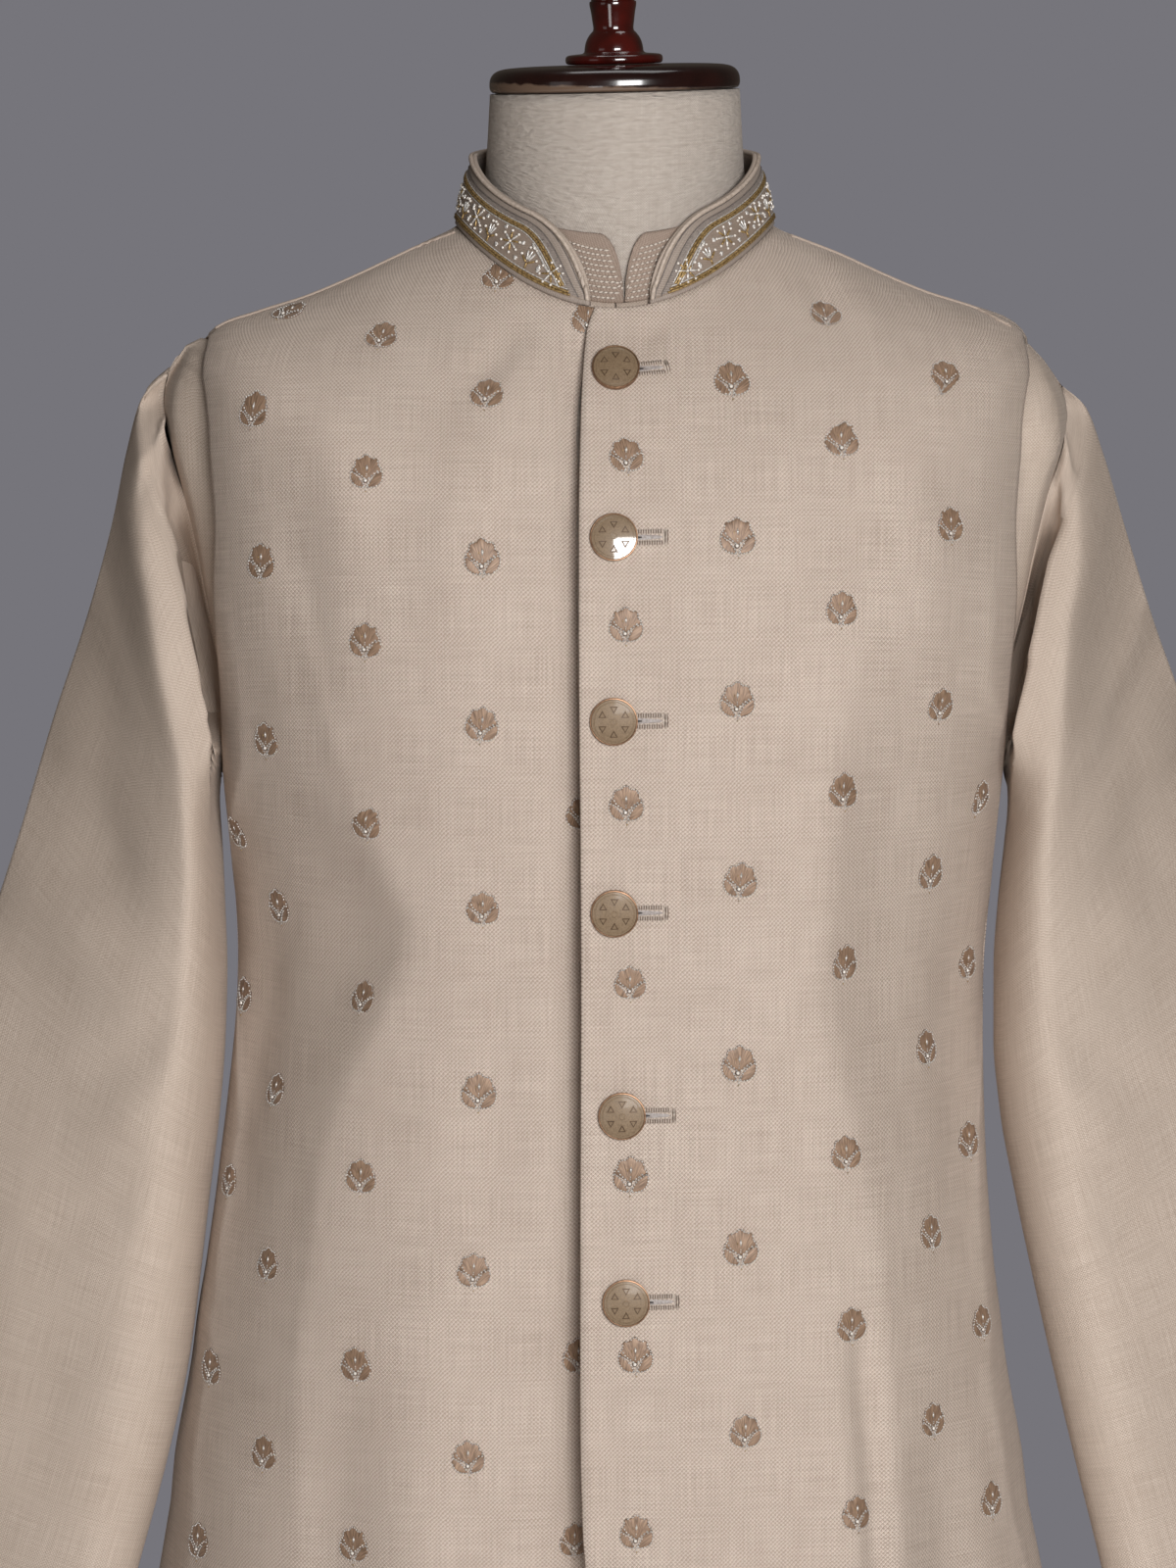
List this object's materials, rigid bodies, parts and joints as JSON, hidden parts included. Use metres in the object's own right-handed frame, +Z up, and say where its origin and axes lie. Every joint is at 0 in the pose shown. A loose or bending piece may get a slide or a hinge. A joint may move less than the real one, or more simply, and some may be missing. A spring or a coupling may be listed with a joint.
{
  "type": "bandhgala waistcoat set on a limbless dress form",
  "caption": "Long sleeveless bandhgala waistcoat with an embroidered band collar and round buttons, over a plain kurta, worn by a limbless dress form on a turned stand.",
  "frame": {"origin": "on the floor, under the middle of the stand's base", "axes": "+Z up; the front faces -Y; +X is the wearer's left"},
  "size_m": [0.805, 0.34, 1.5826],
  "materials": {
    "waistcoat_silk": "dupion silk with small embroidered sprigs, soft sheen",
    "collar_embroidery": "dupion silk covered with gold and silver braid and bead work",
    "kurta_silk": "plain silk and linen weave, soft sheen",
    "form_linen": "crepe-textured cream linen, stretched",
    "mahogany": "dark red-brown lacquer, glossy",
    "button_gilt": "antique gilt with an engraved rosette"
  },
  "bodies": {
    "root": {"form_body": "form_linen", "form_cap": "mahogany", "form_finial": "mahogany", "stand_pole": "mahogany", "stand_base": "mahogany", "kurta_front": "kurta_silk", "kurta_back": "kurta_silk", "kurta_sleeve_left": "kurta_silk", "kurta_sleeve_right": "kurta_silk", "kurta_collar": "kurta_silk", "waistcoat_front_left": "waistcoat_silk", "waistcoat_front_right": "waistcoat_silk", "waistcoat_back": "waistcoat_silk", "waistcoat_collar": "collar_embroidery", "button_1": "button_gilt", "button_2": "button_gilt", "button_3": "button_gilt", "button_4": "button_gilt", "button_5": "button_gilt", "button_6": "button_gilt"}
  },
  "joints": []
}
